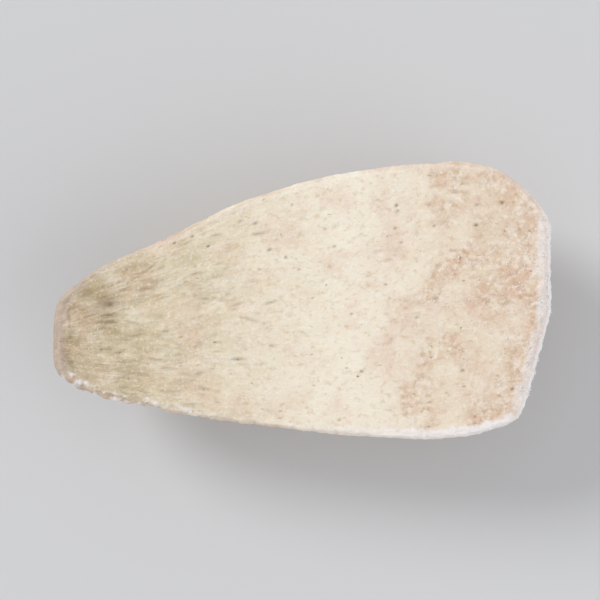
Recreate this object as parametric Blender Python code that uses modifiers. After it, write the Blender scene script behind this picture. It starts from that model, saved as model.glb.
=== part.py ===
"""Half of a peeled taro corm, split lengthwise and trimmed at both ends, as it is packed for freezing.

One solid, worked the way a cook works it. A half round blank is drawn out into the split corm, with the
flats that a peeling knife leaves along its back. The back is pressed level where the half rests, the knife
trims its root end and its crown, and the rims of all the cuts are rounded.

It lies on its back with the split face up: X runs from the root end to the crown, Y across the split face,
and Z is up from the surface that it rests on, with the origin under the middle of its box.
"""

import math

import bmesh
import bpy
import numpy as np
from mathutils import Matrix

MM = 0.001

# The split corm before its ends are trimmed, at stations evenly spaced between its two ends, in millimetres:
# where its far and its near edge are, and how deep its back is below the split face.
ENDS = (-77.6, 79.0)
STATIONS = np.array(
    [
        (-14.0, -14.5, 6.0),
        (0.6, -21.6, 12.4),
        (9.3, -26.8, 18.4),
        (14.3, -29.0, 23.2),
        (19.4, -31.6, 27.5),
        (25.2, -33.5, 31.1),
        (29.4, -35.0, 33.8),
        (33.0, -36.3, 35.4),
        (35.3, -37.5, 36.0),
        (37.0, -38.2, 35.8),
        (38.0, -38.5, 34.6),
        (38.4, -38.0, 32.0),
        (35.0, -36.9, 28.0),
        (24.0, -33.2, 21.6),
        (6.0, -23.0, 11.0),
    ]
)
RINGS = 34  # drawn between the two ends

STROKES = 11  # flats that the peeling knife left side by side on the back
STROKE_UNEVEN = 0.018  # how much wider some flats are, as a share of the way round the back
STROKE_WANDER = 0.014  # how far the ridges between them stray along the corm, as the same share
STROKE_BITE = 0.012  # how much deeper the knife bit in places, as a share of the radius
WANDER_WAVES = math.tau * 1.3  # a ridge strays to and fro this much from end to end
BITE_WAVES = math.tau * 1.7
RIDGE_STEPS = (2.4, 1.9, 4.1)  # these set each ridge's width, wander and bite apart from the next one's
OVERHANG = math.radians(6)  # how far round the corm its widest line lies below the split face

HEIGHT = 34.4  # of the split face above the flat that the half rests on
ROOT_TRIM_X = -67.2  # where the root trim meets the split face
ROOT_LEAN = math.radians(13)  # the root trim leans out below
ROOT_TURN_LENGTH = 30.0  # the rings turn from the trim's lean to upright over this length
CROWN_TRIM_X = 68.9  # of the trim across the crown
CROWN_SLANT = math.radians(15.5)  # the second crown trim slants in towards the near edge
CROWN_SLANT_Y = -3.5  # where the two crown trims meet
CROWN_TURN = (38.0, 62.0)  # the rings turn to the crown trims between these

RIM = 3.0  # rounding of the crown's rim
ROOT_RIM_SHARE = 0.9
LONG_RIM_SHARE = 0.6
RIM_SEGMENTS = 3
ON_CUT = 0.05  # a point this near to a cut counts as on it
SHARP = math.radians(27)  # only the rims of the cuts are sharper than this

FLESH = ("frozen_taro_flesh", (0.76, 0.66, 0.50, 1.0), 0.62)


def clear_scene():
    for obj in list(bpy.data.objects):
        bpy.data.objects.remove(obj)


def clamp(share):
    return max(0.0, min(1.0, share))


def station(place):
    """The split corm's measures at a share of its length, on a Catmull-Rom curve through the stations."""
    rows = np.vstack([2 * STATIONS[0] - STATIONS[1], STATIONS, 2 * STATIONS[-1] - STATIONS[-2]])
    spans = len(STATIONS) - 1
    span = min(int(place * spans), spans - 1)
    a, b, c, d = rows[span : span + 4]
    t = place * spans - span
    return 0.5 * (2 * b + (c - a) * t + (2 * a - 5 * b + 4 * c - d) * t**2 + (3 * b - a - 3 * c + d) * t**3)


def knife_cut(mesh, point, normal):
    """Cuts away all that lies past a plane, and closes the cut with one flat face."""
    everything = [*mesh.verts, *mesh.edges, *mesh.faces]
    cut = bmesh.ops.bisect_plane(
        mesh, geom=everything, dist=1e-7, plane_co=point, plane_no=normal, clear_outer=True
    )
    rim = [item for item in cut["geom_cut"] if isinstance(item, bmesh.types.BMEdge)]
    bmesh.ops.edgeloop_fill(mesh, edges=rim)


def crown_end(y):
    """How far along the corm the crown trims lie, at a place across it, in millimetres."""
    return CROWN_TRIM_X - math.tan(CROWN_SLANT) * max(0.0, CROWN_SLANT_Y - y)


def half_round_blank():
    """A half cylinder along Z, ringed along its length: a row of faces for each stroke, and one flat face."""
    mesh = bmesh.new()
    bmesh.ops.create_cone(mesh, cap_ends=True, segments=2 * STROKES, radius1=1.0, radius2=1.0, depth=1.0)
    long_edges = [edge for edge in mesh.edges if edge.verts[0].co.z * edge.verts[1].co.z < 0]
    bmesh.ops.subdivide_edges(mesh, edges=long_edges, cuts=RINGS)
    knife_cut(mesh, (0, 0, 0), (-1, 0, 0))
    return mesh


def on_corm(place, turn):
    """A point of the split corm, in metres. Its turn runs round the back, from 0 at the far edge to 1."""
    along = ENDS[0] + place * (ENDS[1] - ENDS[0])
    far, near, depth = station(place)
    width_step, wander_step, bite_step = (round(turn * STROKES) * step for step in RIDGE_STEPS)
    inner = math.sin(math.pi * turn)
    turn += inner * STROKE_UNEVEN * math.sin(width_step)
    turn += inner * STROKE_WANDER * math.sin(WANDER_WAVES * place + wander_step)
    reach = 1.0 + inner * STROKE_BITE * math.sin(BITE_WAVES * place + bite_step)
    angle = (math.pi + 2 * OVERHANG) * turn - OVERHANG
    below = depth * reach * (math.sin(angle) + math.sin(OVERHANG)) / (1 + math.sin(OVERHANG))
    y = (far + near) / 2 + (far - near) / 2 * reach * math.cos(angle)
    root = clamp(1 - (along - ROOT_TRIM_X) / ROOT_TURN_LENGTH)
    crown = clamp((along - CROWN_TURN[0]) / (CROWN_TURN[1] - CROWN_TURN[0]))
    x = along - root * math.tan(ROOT_LEAN) * below
    x -= crown * (CROWN_TRIM_X - crown_end(y))
    return x * MM, y * MM, max(0.0, HEIGHT - below) * MM


def trim_ends(mesh):
    top = HEIGHT * MM
    knife_cut(mesh, (ROOT_TRIM_X * MM, 0, top), (-math.cos(ROOT_LEAN), 0, math.sin(ROOT_LEAN)))
    knife_cut(mesh, (CROWN_TRIM_X * MM, 0, 0), (1, 0, 0))
    meeting = (CROWN_TRIM_X * MM, CROWN_SLANT_Y * MM, 0)
    knife_cut(mesh, meeting, (math.cos(CROWN_SLANT), -math.sin(CROWN_SLANT), 0))


def weigh_rims(mesh):
    """Marks how much each rim is rounded: the crown's fully, and the root's and the long rims less."""
    weight = mesh.edges.layers.float.new("bevel_weight_edge")
    for edge in mesh.edges:
        if edge.calc_face_angle() < SHARP:
            continue
        ends = [(vert.co.x / MM, vert.co.y / MM) for vert in edge.verts]
        if all(x > crown_end(y) - ON_CUT for x, y in ends):
            edge[weight] = 1.0
        elif all(x < ROOT_TRIM_X + ON_CUT for x, y in ends):
            edge[weight] = ROOT_RIM_SHARE
        else:
            edge[weight] = LONG_RIM_SHARE


def flesh_material():
    name, colour, roughness = FLESH
    material = bpy.data.materials.new(name)
    material.use_nodes = True
    shader = material.node_tree.nodes["Principled BSDF"]
    shader.inputs["Base Color"].default_value = colour
    shader.inputs["Roughness"].default_value = roughness
    shader.inputs["Metallic"].default_value = 0.0
    return material


def centre(obj):
    """Moves the mesh so that the middle of its box, rims rounded, is over the origin."""
    graph = bpy.context.evaluated_depsgraph_get()
    corners = np.array(obj.evaluated_get(graph).bound_box)
    middle = (corners.min(axis=0) + corners.max(axis=0)) / 2
    obj.data.transform(Matrix.Translation((-middle[0], -middle[1], 0.0)))


def build():
    clear_scene()
    parts = bpy.data.collections.new("taro_half")
    bpy.context.scene.collection.children.link(parts)
    corm = half_round_blank()
    for vert in corm.verts:
        vert.co = on_corm(vert.co.z + 0.5, math.atan2(abs(vert.co.x), vert.co.y) / math.pi)
    trim_ends(corm)
    bmesh.ops.recalc_face_normals(corm, faces=corm.faces)
    weigh_rims(corm)
    mesh = bpy.data.meshes.new("taro_half")
    corm.to_mesh(mesh)
    corm.free()
    mesh.materials.append(flesh_material())
    taro_half = bpy.data.objects.new("taro_half", mesh)
    parts.objects.link(taro_half)
    rims = taro_half.modifiers.new("rounded_rims", "BEVEL")
    rims.limit_method = "WEIGHT"
    rims.width = RIM * MM
    rims.segments = RIM_SEGMENTS
    rims.use_clamp_overlap = False
    centre(taro_half)
    mesh.shade_smooth()
    mesh.set_sharp_from_angle(angle=SHARP)


build()
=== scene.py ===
"""The look of a frozen taro half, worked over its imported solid.

The solid is remeshed finely, and then treated as the real corm was: its back is pared with a short knife, its
face is split and torn along the fibres, and frost grows on its rims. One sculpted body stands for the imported
node, and loose ice grains lie on it. Lengths are in millimetres until a mesh is written.
"""

import math

import bmesh
import bpy
import numpy as np
from mathutils import Matrix, Vector, kdtree, noise


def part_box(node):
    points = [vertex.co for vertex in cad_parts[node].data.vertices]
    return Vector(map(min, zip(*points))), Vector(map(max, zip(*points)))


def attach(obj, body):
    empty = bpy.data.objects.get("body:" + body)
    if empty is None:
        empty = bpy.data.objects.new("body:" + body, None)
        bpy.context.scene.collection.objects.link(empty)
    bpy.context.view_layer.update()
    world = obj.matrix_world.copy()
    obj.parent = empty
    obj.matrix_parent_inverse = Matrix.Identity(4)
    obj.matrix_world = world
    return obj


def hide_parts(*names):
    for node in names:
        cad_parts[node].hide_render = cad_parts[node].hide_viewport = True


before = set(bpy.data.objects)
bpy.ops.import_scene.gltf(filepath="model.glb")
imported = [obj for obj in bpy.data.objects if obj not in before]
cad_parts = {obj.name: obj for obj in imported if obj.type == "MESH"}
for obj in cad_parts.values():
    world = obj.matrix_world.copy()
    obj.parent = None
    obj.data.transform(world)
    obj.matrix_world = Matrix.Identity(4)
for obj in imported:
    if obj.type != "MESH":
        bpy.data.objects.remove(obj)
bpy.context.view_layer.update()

MM = 0.001
NODE = "taro_half"
LOW, HIGH = (np.array(corner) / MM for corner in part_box(NODE))
TOP = HIGH[2]  # height of the split face
LENGTH = HIGH[0] - LOW[0]
BROAD = (HIGH[1] - LOW[1]) / 2

# The fine mesh
VOXEL = 0.76
SMOOTHINGS = 3
FACE_DEPTH = 1.2  # the split face is refined down to this far below it
ROOT_ROUNDED = 9.0  # the root end is rubbed round this far in
ROOT_SMOOTHINGS = 30

# The knife's work on the back
PARINGS = 125
PARING_REACH = (9.0, 20.0)
PARING_DEPTH = (0.2, 0.65)
PARING_TILT = 0.05
RIM_SPARED = (0.5, 4.5)  # parings fade in between these distances from the rim, which keeps its outline
DRAG_HEIGHT = 0.07
LUMP_HEIGHT = 0.13
ROOT_SCARS = 42
SCAR_SIZE = (0.7, 1.5)
SCAR_DEPTH = (0.15, 0.4)
SKIN_PATCHES = 9
SKIN_LENGTH = (3.0, 7.0)
SKIN_THICKNESS = 0.12

# The split face
WAVE_HEIGHT = 0.45
RIPPLE_HEIGHT = 0.06
RIPPLE_SPACING = 8.5
ROOT_DIP = 0.9
FIBRE_HEIGHT = (0.03, 0.12)  # everywhere, and more towards the root
GRAIN_HEIGHT = 0.07
CRUMB_HEIGHT = (0.05, 0.16)  # everywhere, and more on the crust
TORN_FIBRES = 160
TORN_LENGTH = (1.0, 3.6)
TORN_WIDTH = (0.45, 0.75)
TORN_REACH = (0.03, 0.42)  # where they begin, and how far they reach, as shares of the length
FLAWS = 60
FLAW_SIZE = (0.35, 0.65)
PITS = 210
PIT_SIZE = (0.5, 1.1)
PIT_DEPTH = (0.12, 0.4)
BRUISE = (0.118, 0.69)  # its place on the face, as shares of the length and the width
BRUISE_SIZE = 3.4
BRUISE_TEARS = ((-3.2, 3.8), (-5.2, 4.4))  # how far each lies to the near side, and its length
FACE_SPREAD = (0.02, 0.98)  # the shares of its length and half width that flaws and pits lie within
FACE_WIDTH = (-0.95, 0.95)

# The rims
RIM_RAGGED = (0.25, 0.6)  # everywhere, and more at the root and its near side
FROST_HEIGHT = 0.4
FROST_REACH = (1.5, 2.9, 0.9)  # its band's width everywhere, and more at the crown and along the near rim

# Ice
GRAINS = 2400
GRAIN_SIZE = (0.09, 0.24)


def to_linear(code):
    """A hex colour as linear red, green, blue and alpha."""
    shares = [int(code[place : place + 2], 16) / 255 for place in (1, 3, 5)]
    linear = [share / 12.92 if share < 0.04045 else ((share + 0.055) / 1.055) ** 2.4 for share in shares]
    return linear + [1.0]


def rise(low, high, values):
    """0 at low, 1 at high, and a smooth step between. Where low is the larger, it falls with the values."""
    share = np.clip((values - low) / (high - low), 0.0, 1.0)
    return share * share * (3 - 2 * share)


def clouds(places, size, octaves=2, seed=0):
    """Fractal noise, about -1 to 1, whose lumps are about this many millimetres across."""
    shift = Vector((seed * 17.3, seed * 5.1, seed * 9.7))
    values = [noise.fractal(Vector(place) / size + shift, 1.0, 2.0, octaves) for place in places]
    return np.array(values)


class Flesh:
    """The sculpted body: its points and normals, where each lies on the corm, and marks for the shader."""

    def __init__(self, mesh):
        self.mesh = mesh
        self.points = np.empty((len(mesh.vertices), 3), np.float32)
        mesh.vertices.foreach_get("co", self.points.ravel())
        self.points /= MM
        self.marks = {name: np.zeros(len(self.points)) for name in ("stain", "flaw", "scar", "skin")}
        self.take_normals()
        self.survey()
        self.tree = kdtree.KDTree(len(self.points))
        for index, point in enumerate(self.points):
            self.tree.insert(point, index)
        self.tree.balance()

    def take_normals(self):
        self.normals = np.empty((len(self.points), 3), np.float32)
        self.mesh.vertex_normals.foreach_get("vector", self.normals.ravel())

    def survey(self):
        """Works out, once, which part of the corm each point is on and how far it is from the face's rim."""
        x, y, z = self.points.T
        nx, ny, nz = self.normals.T
        self.face = rise(0.82, 0.96, nz) * rise(TOP - 1.6, TOP - 0.5, z)
        on_rim = np.flatnonzero((z > TOP - 2.6) & (nz > 0.35) & (nz < 0.8))
        rim = kdtree.KDTree(len(on_rim))
        for index in on_rim:
            rim.insert(self.points[index], int(index))
        rim.balance()
        found = [rim.find(point) for point in self.points]
        self.gap = np.array([distance for place, index, distance in found])
        nearest = self.normals[[index for place, index, distance in found]]
        self.crown_side = rise(0.45, 0.75, nearest[:, 0])
        self.near_side = rise(0.2, 0.6, -nearest[:, 1])
        self.root_side = rise(0.25, 0.7, -nearest[:, 0])
        self.crown_cut = rise(0.88, 0.97, nx) * rise(0.6, 0.75, x / HIGH[0])
        self.root_cut = rise(0.86, 0.95, -nx) * rise(0.85, 0.93, x / LOW[0])
        self.back = (1 - self.face) * (1 - self.crown_cut) * (1 - self.root_cut)
        self.along = (x - LOW[0]) / LENGTH
        slices = np.linspace(LOW[0] + 1.5, HIGH[0] - 1.5, 40)
        near = [y[np.abs(x - place) < 1.6].min() for place in slices]
        far = [y[np.abs(x - place) < 1.6].max() for place in slices]
        self.middle = lambda place: np.interp(place, slices, (np.array(near) + far) / 2)
        self.half = lambda place: np.interp(place, slices, (np.array(far) - near) / 2)
        self.across = (y - self.middle(x)) / self.half(x)
        wander = 1.6 * clouds(self.points, 15.0, 2, seed=1)
        self.fibre = np.column_stack([x, self.across * BROAD + wander, z * 0.6])

    def push(self, amount):
        """Moves each point out along its normal."""
        self.points += self.normals * np.asarray(amount)[:, None]

    def on_face(self, along, across):
        """A place on the split face, at shares of its length and half width, and its fibres' heading."""
        x = LOW[0] + along * LENGTH
        y = self.middle(x) + across * self.half(x)
        ahead = self.middle(x + 2) + across * self.half(x + 2)
        return np.array([x, y, TOP]), math.atan2(ahead - y, 2.0)

    def within(self, place, radius):
        return np.array([index for point, index, distance in self.tree.find_range(place, radius)], int)

    def score(self, place, heading, size, depth, mark, strength):
        """Presses one oval nick into the flesh, turned to a heading, and marks it for the shader."""
        length, width = size
        found = self.within(place, length)
        if not len(found):
            return
        offset = self.points[found] - place
        run = (offset[:, 0] * math.cos(heading) + offset[:, 1] * math.sin(heading)) / length
        side = np.linalg.norm(offset, axis=1) ** 2 - (run * length) ** 2
        shape = np.exp(-2.5 * (run**2 + np.maximum(side, 0) / width**2))
        self.points[found] -= self.normals[found] * (depth * shape)[:, None]
        self.marks[mark][found] = np.maximum(self.marks[mark][found], shape * strength)

    def write(self):
        self.points[:, 2] = np.maximum(self.points[:, 2], LOW[2])
        self.mesh.vertices.foreach_set("co", (self.points * MM).ravel())
        for name, values in self.marks.items():
            layer = self.mesh.attributes.new(name, "FLOAT", "POINT")
            layer.data.foreach_set("value", np.ascontiguousarray(values, np.float32))
        fibre = self.mesh.attributes.new("fibre", "FLOAT_VECTOR", "POINT")
        fibre.data.foreach_set("vector", np.ascontiguousarray(self.fibre, np.float32).ravel())
        self.mesh.update()


def smooth(mesh, verts, times):
    every_way = {"use_axis_x": True, "use_axis_y": True, "use_axis_z": True}
    for _ in range(times):
        bmesh.ops.smooth_vert(mesh, verts=verts, factor=0.5, **every_way)


def fine_mesh():
    """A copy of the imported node, remeshed evenly, with the split face twice as fine as the rest."""
    solid = bmesh.new()
    solid.from_mesh(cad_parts[NODE].data)
    bmesh.ops.remove_doubles(solid, verts=solid.verts, dist=0.01 * MM)
    mesh = bpy.data.meshes.new("rough_half")
    solid.to_mesh(mesh)
    solid.free()
    rough = bpy.data.objects.new("rough_half", mesh)
    bpy.context.scene.collection.objects.link(rough)
    remesh = rough.modifiers.new("even_mesh", "REMESH")
    remesh.mode = "VOXEL"
    remesh.voxel_size = VOXEL * MM
    graph = bpy.context.evaluated_depsgraph_get()
    even = bmesh.new()
    even.from_mesh(bpy.data.meshes.new_from_object(rough.evaluated_get(graph)))
    bpy.data.objects.remove(rough)
    smooth(even, even.verts, SMOOTHINGS)
    root_end = [vert for vert in even.verts if vert.co.x < (LOW[0] + ROOT_ROUNDED) * MM]
    smooth(even, root_end, ROOT_SMOOTHINGS)
    lost = min(vert.co.x for vert in root_end) - LOW[0] * MM
    for vert in root_end:
        vert.co.x -= lost * (1 - (vert.co.x / MM - LOW[0]) / ROOT_ROUNDED)
    refined = [edge for edge in even.edges if min(v.co.z for v in edge.verts) > (TOP - FACE_DEPTH) * MM]
    bmesh.ops.subdivide_edges(even, edges=refined, cuts=1, use_grid_fill=True)
    bmesh.ops.triangulate(even, faces=[face for face in even.faces if len(face.verts) > 4])
    finished = bpy.data.meshes.new("taro_flesh")
    even.to_mesh(finished)
    even.free()
    finished.shade_smooth()
    return finished


def pare_back(flesh, rng):
    """Shaves flat after flat off the back, each a plane that a short knife left, with a soft edge."""
    candidates = np.flatnonzero((flesh.back > 0.9) & (flesh.points[:, 2] > 3.0))
    spared = rise(*RIM_SPARED, flesh.gap)
    for index in rng.choice(candidates, PARINGS):
        place = flesh.points[index].copy()
        tilt = rng.normal(0, PARING_TILT, 3)
        plane = flesh.normals[index] + tilt
        plane /= np.linalg.norm(plane)
        reach = rng.uniform(*PARING_REACH)
        offset = flesh.points - place
        above = offset @ plane + rng.uniform(*PARING_DEPTH)
        fade = 1 - rise(0.75, 1.0, np.linalg.norm(offset, axis=1) / reach)
        shaved = np.maximum(above, 0) * fade * spared * flesh.back
        flesh.points -= plane * shaved[:, None]


def grain_back(flesh):
    """The pared surface close up: drag marks along the strokes, and the flesh's own fine unevenness."""
    drag = clouds(flesh.fibre * (0.08, 1.0, 1.0), 1.3, 2, seed=3)
    lumps = clouds(flesh.points, 5.0, 2, seed=4)
    flesh.push(flesh.back * (DRAG_HEIGHT * drag + LUMP_HEIGHT * lumps))


def scar_back(flesh, rng):
    """The brown eyes where roots grew, and the thin scraps of skin that the knife missed."""
    candidates = np.flatnonzero((flesh.back > 0.95) & (flesh.gap > 3.0))
    for index in rng.choice(candidates, ROOT_SCARS):
        size = rng.uniform(*SCAR_SIZE)
        place = flesh.points[index].copy()
        flesh.score(place, 0.0, (size * 1.2, size), rng.uniform(*SCAR_DEPTH), "scar", 1.0)
    ends = candidates[(flesh.along[candidates] < 0.25) | (flesh.along[candidates] > 0.7)]
    for index in rng.choice(ends, SKIN_PATCHES):
        length = rng.uniform(*SKIN_LENGTH)
        place = flesh.points[index].copy()
        flesh.score(place, rng.uniform(-0.4, 0.4), (length, length / 3), -SKIN_THICKNESS, "skin", 1.0)


def split_face(flesh):
    """The face's broad shape: slow waves, faint ripples where the blade stuck, and a dip at the root."""
    x, y, z = flesh.points.T
    waves = clouds(flesh.points, 26.0, 2, seed=5)
    slanted = x + 0.35 * y + 5 * clouds(flesh.points, 30.0, 1, seed=6)
    ripples = np.sin(slanted / RIPPLE_SPACING * math.tau)
    dip = rise(0.16, 0.0, flesh.along)
    flesh.push(flesh.face * (WAVE_HEIGHT * waves + RIPPLE_HEIGHT * ripples - ROOT_DIP * dip))


def raise_fibres(flesh):
    """Fine ridges along the fibres, strongest towards the root, and a starchy grain all over the face."""
    root = rise(0.62, 0.1, flesh.along) * rise(-0.5, 0.4, clouds(flesh.points, 7.0, 2, seed=17))
    ridges = clouds(flesh.fibre * (0.2, 1.0, 1.0), 1.5, 3, seed=7)
    grain = clouds(flesh.points, 0.95, 2, seed=8)
    crumbs = rise(0.1, 0.6, clouds(flesh.points, 1.5, 2, seed=9))
    ridges *= FIBRE_HEIGHT[0] + FIBRE_HEIGHT[1] * root
    crumbs *= CRUMB_HEIGHT[0] + CRUMB_HEIGHT[1] * crusted(flesh)
    flesh.push(flesh.face * (ridges + GRAIN_HEIGHT * grain + crumbs))


def crusted(flesh):
    """How dry and crusted the face is: in patches on the crown side."""
    patches = clouds(flesh.points, 10.0, 4, seed=11)
    crown = rise(0.55, 0.97, flesh.along)
    return rise(0.0, 0.7, patches + 0.9 * crown - 0.3) * rise(0.02, 0.35, crown) * flesh.face


def tear_fibres(flesh, rng):
    """Short dark tears along the fibres, crowded towards the root end."""
    for _ in range(TORN_FIBRES):
        along = TORN_REACH[0] + TORN_REACH[1] * rng.power(0.5)
        place, heading = flesh.on_face(along, rng.uniform(-0.92, 0.92))
        size = (rng.uniform(*TORN_LENGTH), rng.uniform(*TORN_WIDTH))
        strength = rng.uniform(0.1, 0.65)
        flesh.score(place, heading + rng.normal(0, 0.16), size, 0.3 * strength, "stain", strength)


def bruise_face(flesh):
    """A bruise near the root: a brown smudge with a darker middle, and two dark tears beside it."""
    along, across = BRUISE
    place, heading = flesh.on_face(along, 2 * across - 1)
    flesh.score(place, heading, (BRUISE_SIZE * 1.5, BRUISE_SIZE), 0.3, "flaw", 0.5)
    flesh.score(place + (0.5, -0.3, 0), heading, (2.2, 1.3), 0.4, "flaw", 0.9)
    for sideways, length in BRUISE_TEARS:
        flesh.score(place + (0.4, sideways, 0), 0.03, (length, 0.8), 0.35, "stain", 0.9)


def flaw_face(flesh, rng):
    """Brown flaws sunk in the face, and clean little pits, each faintly darkened inside."""
    for _ in range(FLAWS):
        place, heading = flesh.on_face(rng.uniform(*FACE_SPREAD), rng.uniform(*FACE_WIDTH))
        width = rng.uniform(*FLAW_SIZE)
        length = width * rng.uniform(1.0, 2.0)
        flesh.score(place, heading, (length, width), 0.15, "flaw", rng.uniform(0.35, 1.0))
    for _ in range(PITS):
        place, heading = flesh.on_face(rng.uniform(*FACE_SPREAD), rng.uniform(*FACE_WIDTH))
        size = rng.uniform(*PIT_SIZE)
        # each pit takes a tenth of the flaw mark, which darkens it faintly inside
        flesh.score(place, heading, (size * 1.3, size), rng.uniform(*PIT_DEPTH), "flaw", 0.1)


def fray_rims(flesh):
    """Nibbled rims, more ragged at the root and its near side, and swollen with frost at the crown."""
    close = np.exp(-((flesh.gap / 1.8) ** 2))
    ragged = clouds(flesh.points, 2.4, 3, seed=13)
    root = rise(0.6, 0.05, flesh.along) * np.maximum(flesh.near_side, flesh.root_side)
    flesh.push(close * (RIM_RAGGED[0] + RIM_RAGGED[1] * root) * ragged)
    lumps = 0.25 + np.abs(clouds(flesh.points, 2.6, 2, seed=14))
    flesh.push(FROST_HEIGHT * frosted(flesh) * lumps)


def frosted(flesh):
    """How frosted each point is: a band at the crown, a narrower one on the near rim, crumbs at the lip."""
    near = 0.85 * flesh.near_side * rise(0.42, 0.85, flesh.along)
    crumbs = rise(0.0, 0.4, clouds(flesh.points, 2.2, 3, seed=18))
    lip = flesh.near_side * rise(0.42, 0.15, flesh.along) * crumbs
    reach = FROST_REACH[0] + FROST_REACH[1] * flesh.crown_side + FROST_REACH[2] * near
    share = flesh.gap / reach + 0.5 * clouds(flesh.points, 3.2, 3, seed=19)
    sides = np.maximum.reduce([flesh.crown_side, near, 0.75 * lip])
    return rise(1.25, 0.65, share) * (0.12 + 0.88 * sides)


def grain_cuts(flesh):
    """The two end cuts: level, with a crumbly grain."""
    waves = clouds(flesh.points, 9.0, 2, seed=15)
    crumbs = clouds(flesh.points, 1.4, 2, seed=16)
    flesh.push(np.maximum(flesh.crown_cut, flesh.root_cut) * (0.25 * waves + 0.1 * crumbs))


def mark_finish(flesh):
    """Where each finish of the surface lies, and where painted shade darkens the root end, for the shader."""
    ragged_gap = flesh.gap + 1.6 * clouds(flesh.points, 3.0, 3, seed=23)
    line = np.exp(-(((ragged_gap - 2.8) / 0.9) ** 2))
    # painted shade: the outside of the root end is darkened where it curves away from the light
    root_tip_shade = rise(LOW[0] + 26, LOW[0] + 4, flesh.points[:, 0]) * (1 - flesh.face)
    flesh.marks["root"] = rise(0.55, 0.02, flesh.along)
    flesh.marks["root_rim"] = flesh.root_side * rise(2.6, 1.2, ragged_gap)
    flesh.marks["root_line"] = flesh.root_side * line * flesh.face
    flesh.marks["crust"] = crusted(flesh)
    flesh.marks["frost"] = np.maximum(frosted(flesh), 0.5 * flesh.crown_cut)
    flesh.marks["back"] = 1 - flesh.face
    # the ends mark carries painted shade on the root cut and on the root end's outside
    flesh.marks["ends"] = np.maximum(flesh.root_cut, root_tip_shade)


def sculpt():
    flesh = Flesh(fine_mesh())
    rng = np.random.default_rng(20)
    pare_back(flesh, rng)
    grain_back(flesh)
    scar_back(flesh, rng)
    split_face(flesh)
    raise_fibres(flesh)
    tear_fibres(flesh, rng)
    bruise_face(flesh)
    flaw_face(flesh, rng)
    fray_rims(flesh)
    grain_cuts(flesh)
    mark_finish(flesh)
    flesh.write()
    return flesh


def ice_grains(flesh, rng):
    """Loose ice: small rough grains on the rims, most of them at the crown, and a few over the face."""
    on_frost = flesh.marks["frost"] * rise(-0.1, 0.35, clouds(flesh.points, 4.0, 2, seed=21))
    on_crust = flesh.marks["crust"] * rise(0.0, 0.3, clouds(flesh.points, 1.5, 2, seed=22))
    likely = 0.015 * flesh.face + 0.3 * on_frost + 0.03 * on_crust
    chosen = rng.choice(len(flesh.points), GRAINS, p=likely / likely.sum())
    ice = bmesh.new()
    for index in chosen:
        size = rng.uniform(*GRAIN_SIZE) * (0.7 + 0.8 * flesh.crown_side[index])
        place = flesh.points[index] + flesh.normals[index] * size * 0.35 + rng.normal(0, 0.1, 3)
        place[2] = max(place[2], size)
        turn = Matrix.Rotation(rng.uniform(0, math.tau), 4, Vector(rng.normal(0, 1, 3)))
        shape = Matrix.Diagonal((*(rng.uniform(0.6, 1.2, 3) * size * MM), 1.0))
        where = Matrix.Translation(Vector(place) * MM) @ turn @ shape
        bmesh.ops.create_icosphere(ice, subdivisions=1, radius=1.0, matrix=where)
    mesh = bpy.data.meshes.new("ice_grains")
    ice.to_mesh(mesh)
    ice.free()
    return mesh


FACTOR, FIRST, SECOND, MIXED = 0, 6, 7, 2  # the colour sockets of a Mix node


def add(tree, kind, inputs=(), stops=(), **settings):
    """Adds a node with its settings. An input is a value, a socket, or a node, whose first output is used."""
    made = tree.nodes.new("ShaderNode" + kind)
    for name, value in settings.items():
        setattr(made, name, value)
    for socket, value in dict(inputs).items():
        if isinstance(value, bpy.types.Node):
            value = next(output for output in value.outputs if output.enabled)
        if isinstance(value, bpy.types.NodeSocket):
            tree.links.new(value, made.inputs[socket])
        else:
            made.inputs[socket].default_value = value
    for place, colour in stops[2:]:
        made.color_ramp.elements.new(place)
    for element, (place, colour) in zip(made.color_ramp.elements if stops else (), stops):
        element.position = place
        element.color = to_linear(colour)
    return made


def new_material(name):
    material = bpy.data.materials.new(name)
    material.use_nodes = True
    return material, material.node_tree, material.node_tree.nodes["Principled BSDF"]


# Sizes of the flesh's patterns in mm
WAVER_SIZE = 18.0
WAVER = 22.0
FLECK_EDGE = 0.6
DAMP_PATCH = 2.2
STARCH_CLUMP = 0.6
FIBRE_WIDTH = 0.7
RELIEF_HEIGHT = 0.25

# The flesh's colour, as shares of the way from the root to the crown: its own tone, with painted shade
# darkening it towards the root end
FLESH_AND_SHADE_STOPS = (
    # the darker stops at the root hold painted shade as well as the flesh's own olive tone
    (0.0, "#b29e7e"),
    (0.06, "#bba785"),
    (0.16, "#cfbe9c"),
    (0.32, "#e2d4b9"),
    (0.6, "#f0e5d2"),
    (0.8, "#e6d6bf"),
    (1.0, "#e1cdb6"),
)

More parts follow.
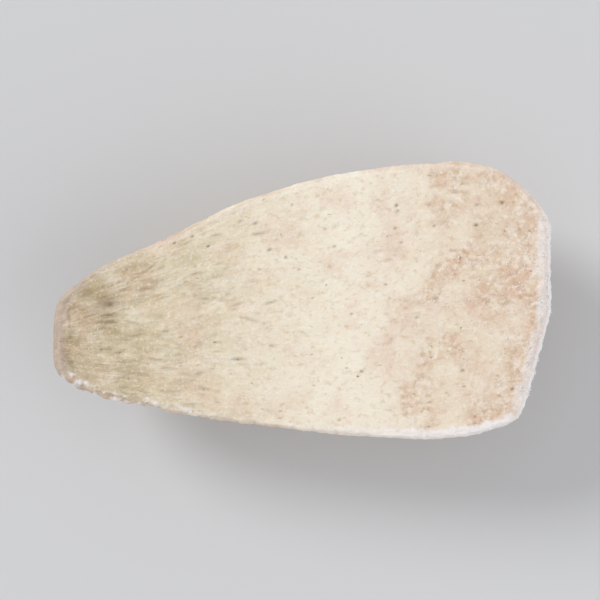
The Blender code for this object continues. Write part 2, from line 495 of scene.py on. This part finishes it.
# What is laid over it, in order: the mark it keeps to, the size of its lumps in mm, how much longer they are
# along the fibres, the noise levels where it starts and is full, its strength, and its colour
FLESH_LAYERS = (
    ("", 7.0, 1.0, 0.40, 0.70, 0.45, "#f5eede"),  # starchy clouds
    ("", 11.0, 1.0, 0.50, 0.68, 0.40, "#ddbba6"),  # pink flush
    ("root", 5.5, 1.5, 0.46, 0.66, 0.60, "#a2916d"),  # olive patches
    ("root", 1.8, 3.0, 0.57, 0.70, 0.55, "#94845f"),  # olive fibres
    ("root", 0.9, 4.0, 0.60, 0.70, 0.60, "#76684b"),  # fine dark fibres
    ("", 1.0, 4.0, 0.55, 0.72, 0.30, "#f9f3e6"),  # pale fibres
    ("", 1.6, 1.2, 0.54, 0.70, 0.45, "#c9ad86"),  # tan grain
    ("", 0.8, 1.0, 0.52, 0.68, 0.36, "#fcf7ee"),  # pale grain
    ("crust", 5.0, 1.0, 0.34, 0.62, 0.75, "#d6b499"),  # dry pink skin
    ("crust", 1.7, 1.0, 0.50, 0.66, 0.50, "#b99a76"),  # brown crumbs
    ("crust", 1.4, 1.0, 0.50, 0.65, 0.60, "#f6ede1"),  # pale crumbs
    ("stain", 0.8, 3.0, 0.25, 0.45, 0.85, "#75603a"),  # torn fibres
    ("flaw", 0.8, 1.0, 0.20, 0.38, 0.95, "#6f4f33"),  # brown flaws
    ("back", 14.0, 1.0, 0.40, 0.68, 0.60, "#d9b098"),  # pink shading of the pared back
    ("back", 2.0, 4.0, 0.52, 0.66, 0.40, "#b9986f"),  # knife drag
    ("ends", 6.0, 1.0, 0.30, 0.62, 0.60, "#a58d70"),  # painted shade on the root end's cut and outside
    ("scar", 0.8, 1.0, 0.30, 0.50, 0.85, "#6a4a32"),  # brown eyes
    ("skin", 1.3, 1.0, 0.44, 0.52, 0.95, "#65503f"),  # scraps of skin
    ("root_rim", 2.4, 1.0, 0.25, 0.60, 0.70, "#b3a090"),  # greyed rim
    ("root_line", 2.6, 1.0, 0.34, 0.60, 0.65, "#7f6f51"),  # dark line inside it
    ("frost", 2.0, 1.0, 0.12, 0.42, 0.97, "#f4f0f0"),  # frost
)

# Flecks: their spacing in mm, their length along the fibres, the share of places that has one, their radius
# in mm, their strength and their colour
FLECKS = (
    (1.9, 2.4, 0.35, 0.32, 0.60, "#8a6c46"),
    (3.4, 1.2, 0.22, 0.42, 0.80, "#604a36"),
    (5.5, 1.0, 0.30, 1.00, 0.40, "#caa066"),
)


def base_colour(tree, place):
    """The flesh's colour from the root to the crown, with painted shade darkening the root end, along a line
    that wavers by the noise.
    """
    along = add(tree, "SeparateXYZ", {"Vector": place})
    clouded = add(tree, "TexNoise", {"Vector": place, "Scale": 1 / WAVER_SIZE, "Detail": 3.0})
    wavering = add(tree, "Math", {0: clouded, 1: WAVER, 2: along}, operation="MULTIPLY_ADD")
    ends = {"From Min": LOW[0] + WAVER / 2, "From Max": HIGH[0] + WAVER / 2}
    return add(tree, "ValToRGB", {"Fac": add(tree, "MapRange", {"Value": wavering, **ends})}, FLESH_AND_SHADE_STOPS)


def lay_layers(tree, colour, place, fibre):
    for number, (mark, size, length, low, high, strength, shade) in enumerate(FLESH_LAYERS):
        moved = {"Vector": fibre if length > 1 else place, "Scale": (1 / length, 1.0, 1.0)}
        moved["Location"] = (13.0 * number, 0.0, 7.0 * number)
        texture = {"Vector": add(tree, "Mapping", moved), "Scale": 1 / size, "Detail": 4.0, "Roughness": 0.6}
        levels = {"From Min": low, "From Max": high, "To Max": strength}
        amount = add(tree, "MapRange", {"Value": add(tree, "TexNoise", texture), **levels})
        if mark:
            limit = add(tree, "Attribute", attribute_name=mark).outputs["Fac"]
            amount = add(tree, "Math", {0: amount, 1: limit}, operation="MULTIPLY")
        mixed = {FACTOR: amount, FIRST: colour, SECOND: to_linear(shade)}
        colour = add(tree, "Mix", mixed, data_type="RGBA")
    return colour


def scatter_flecks(tree, colour, place, fibre):
    """Flecks in some cells of a Voronoi pattern, whose edges waver."""
    for spacing, length, portion, radius, strength, shade in FLECKS:
        wave = add(tree, "TexNoise", {"Vector": place, "Scale": 1 / FLECK_EDGE, "Detail": 2.0})
        shaken = add(tree, "VectorMath", {0: wave.outputs["Color"], 1: fibre}, operation="ADD")
        moved = {"Vector": shaken, "Scale": (1 / length, 1.0, 0.6), "Location": (spacing,) * 3}
        cells = add(tree, "TexVoronoi", {"Vector": add(tree, "Mapping", moved), "Scale": 1 / spacing})
        edge = {"From Min": radius / spacing, "From Max": 0.5 * radius / spacing}
        inside = add(tree, "MapRange", {"Value": cells.outputs["Distance"], **edge})
        chance = add(tree, "SeparateXYZ", {"Vector": cells.outputs["Color"]})
        chosen = add(tree, "MapRange", {"Value": chance, "From Min": 1 - portion, "To Max": strength})
        amount = add(tree, "Math", {0: inside, 1: chosen}, operation="MULTIPLY")
        mixed = {FACTOR: amount, FIRST: colour, SECOND: to_linear(shade)}
        colour = add(tree, "Mix", mixed, data_type="RGBA")
    return colour


def relief(tree, place, fibre):
    """Starch and fibres too fine for the mesh. Starch grains are under 0.01 mm, so their clumps are drawn."""
    starch = {"Vector": place, "Scale": 1 / STARCH_CLUMP, "Detail": 3.0, "Roughness": 0.6}
    clumps = {"Height": add(tree, "TexNoise", starch), "Strength": 0.7, "Distance": RELIEF_HEIGHT * MM}
    long_fibre = add(tree, "Mapping", {"Vector": fibre, "Scale": (0.15, 1.0, 1.0)})
    lines = add(tree, "TexNoise", {"Vector": long_fibre, "Scale": 1 / FIBRE_WIDTH, "Detail": 3.0})
    ridges = {"Height": lines, "Strength": 0.35, "Distance": RELIEF_HEIGHT * MM}
    return add(tree, "Bump", {**ridges, "Normal": add(tree, "Bump", clumps)})


def taro_flesh():
    """Frozen taro, pared and split raw. It looks like dense damp chalk: matte and creamy, with light sinking
    a little way in, brown flecks, darker fibres near the root, and a dry pale frost on its rims."""
    material, tree, shader = new_material("frozen_taro_pared_and_split")
    coordinates = add(tree, "TexCoord").outputs["Object"]
    place = add(tree, "Mapping", {"Vector": coordinates, "Scale": (1 / MM,) * 3})
    fibre = add(tree, "Attribute", attribute_name="fibre").outputs["Vector"]
    colour = lay_layers(tree, base_colour(tree, place), place, fibre)
    colour = scatter_flecks(tree, colour, place, fibre)
    tree.links.new(colour.outputs[MIXED], shader.inputs["Base Color"])
    damp = add(tree, "TexNoise", {"Vector": place, "Scale": 1 / DAMP_PATCH, "Detail": 3.0})
    levels = {"From Min": 0.3, "From Max": 0.7, "To Min": 0.5, "To Max": 0.72}
    rough = add(tree, "MapRange", {"Value": damp, **levels})
    tree.links.new(rough.outputs["Result"], shader.inputs["Roughness"])
    tree.links.new(relief(tree, place, fibre).outputs["Normal"], shader.inputs["Normal"])
    shader.inputs["IOR"].default_value = 1.42  # starch and water
    shader.inputs["Subsurface Weight"].default_value = 0.2
    shader.inputs["Subsurface Radius"].default_value = (1.0, 0.75, 0.5)
    shader.inputs["Subsurface Scale"].default_value = 1.2 * MM
    return material


def freezer_frost():
    """Freezer frost, grown from vapour: white, rough grains, whose facets catch a little light."""
    material, tree, shader = new_material("freezer_frost_grown")
    shader.inputs["Base Color"].default_value = to_linear("#efece9")
    shader.inputs["Roughness"].default_value = 0.6
    shader.inputs["IOR"].default_value = 1.31
    shader.inputs["Subsurface Weight"].default_value = 0.5
    shader.inputs["Subsurface Radius"].default_value = (1.0, 1.0, 1.0)
    shader.inputs["Subsurface Scale"].default_value = 0.5 * MM
    return material


def backdrop_paper():
    """Seamless paper, unprinted: an even, dull off-white."""
    material, tree, shader = new_material("backdrop_paper_uncoated")
    shader.inputs["Base Color"].default_value = to_linear("#cfcfd0")
    shader.inputs["Roughness"].default_value = 0.9
    return material


def place_object(name, mesh, material):
    piece = bpy.data.objects.new(name, mesh)
    bpy.context.scene.collection.objects.link(piece)
    mesh.materials.clear()
    mesh.materials.append(material)
    return piece


FLOOR_SIZE = 30.0  # metres, so that its far edge is lost in the pale world
CAMERA_LENS = 85.0
CAMERA_SENSOR = 36.0
FRAME_SHARE = 0.84  # of the picture's width that the half takes up
ROOM_POWER = 0.63
# The lights: name, direction it comes from, power, and how wide it looks in degrees
LIGHTS = (
    ("blind", (-0.8, 0.62, 0.66), 1.65, 22.0),
    ("reflector", (0.9, -0.4, 0.4), 0.95, 70.0),
)


def make_floor():
    floor = bmesh.new()
    bmesh.ops.create_grid(floor, x_segments=1, y_segments=1, size=FLOOR_SIZE / 2)
    mesh = bpy.data.meshes.new("floor")
    floor.to_mesh(mesh)
    floor.free()
    place_object("floor", mesh, backdrop_paper())


def make_camera():
    """Looks straight down at the split face, with the root end to the left."""
    data = bpy.data.cameras.new("camera")
    data.lens = CAMERA_LENS
    data.sensor_width = CAMERA_SENSOR
    camera = bpy.data.objects.new("camera", data)
    bpy.context.scene.collection.objects.link(camera)
    distance = LENGTH / FRAME_SHARE * CAMERA_LENS / CAMERA_SENSOR
    camera.location = (0.0, 0.0, (TOP + distance) * MM)
    bpy.context.scene.camera = camera


def make_lights():
    """Daylight through a wide blind from the far left, and a white reflector that returns some of it."""
    for name, place, power, width in LIGHTS:
        data = bpy.data.lights.new(name, "SUN")
        data.energy = power
        data.angle = math.radians(width)
        light = bpy.data.objects.new(name, data)
        bpy.context.scene.collection.objects.link(light)
        light.rotation_euler = Vector(place).to_track_quat("Z", "Y").to_euler()


def make_world():
    """A pale room all round."""
    world = bpy.data.worlds.new("pale_room")
    world.use_nodes = True
    world.node_tree.nodes["Background"].inputs["Color"].default_value = to_linear("#fbfcff")
    world.node_tree.nodes["Background"].inputs["Strength"].default_value = ROOM_POWER
    bpy.context.scene.world = world
    bpy.context.scene.view_settings.view_transform = "Standard"


def main():
    flesh = sculpt()
    body = place_object("taro_flesh", flesh.mesh, taro_flesh())
    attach(body, "root")
    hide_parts(NODE)
    grains = place_object("ice_grains", ice_grains(flesh, np.random.default_rng(4)), freezer_frost())
    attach(grains, "root")
    make_floor()
    make_camera()
    make_lights()
    make_world()


main()
